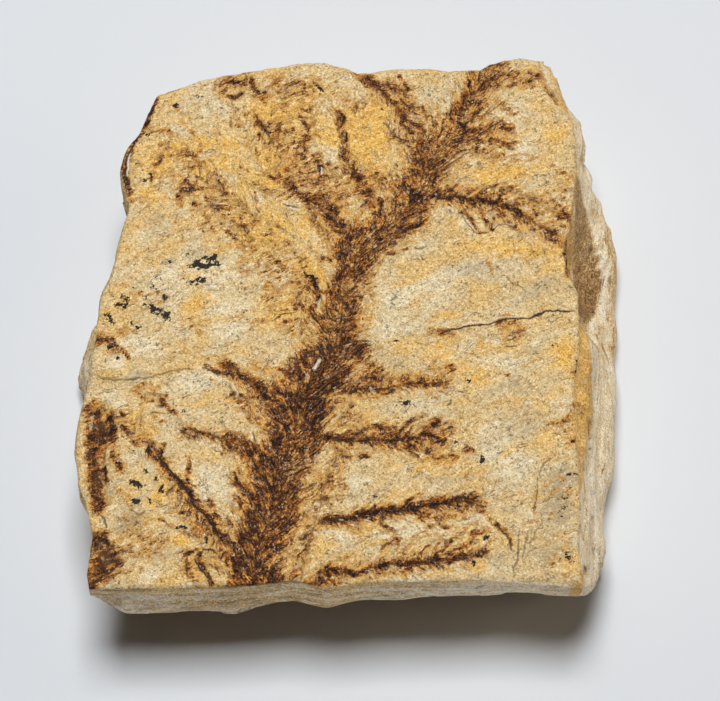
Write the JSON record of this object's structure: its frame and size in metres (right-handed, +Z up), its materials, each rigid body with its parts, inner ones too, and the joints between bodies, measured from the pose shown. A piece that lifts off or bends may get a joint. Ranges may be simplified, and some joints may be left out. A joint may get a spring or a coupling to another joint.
{
  "type": "fossil conifer branch plate",
  "caption": "Hand-sized siltstone block, split along one bed to show the brown stain and low relief of a pressed conifer branch with side twigs and needles.",
  "frame": {"origin": "centre of the block's bounding box, on the surface that the block rests on", "axes": "+Z up out of the branch face, +Y along the branch from its base to its tip, +X to the right of the branch face"},
  "size_m": [0.1144, 0.1205, 0.0307],
  "materials": {
    "siltstone": "matte"
  },
  "bodies": {
    "root": {"conifer_fossil_plate": "siltstone"}
  },
  "joints": []
}
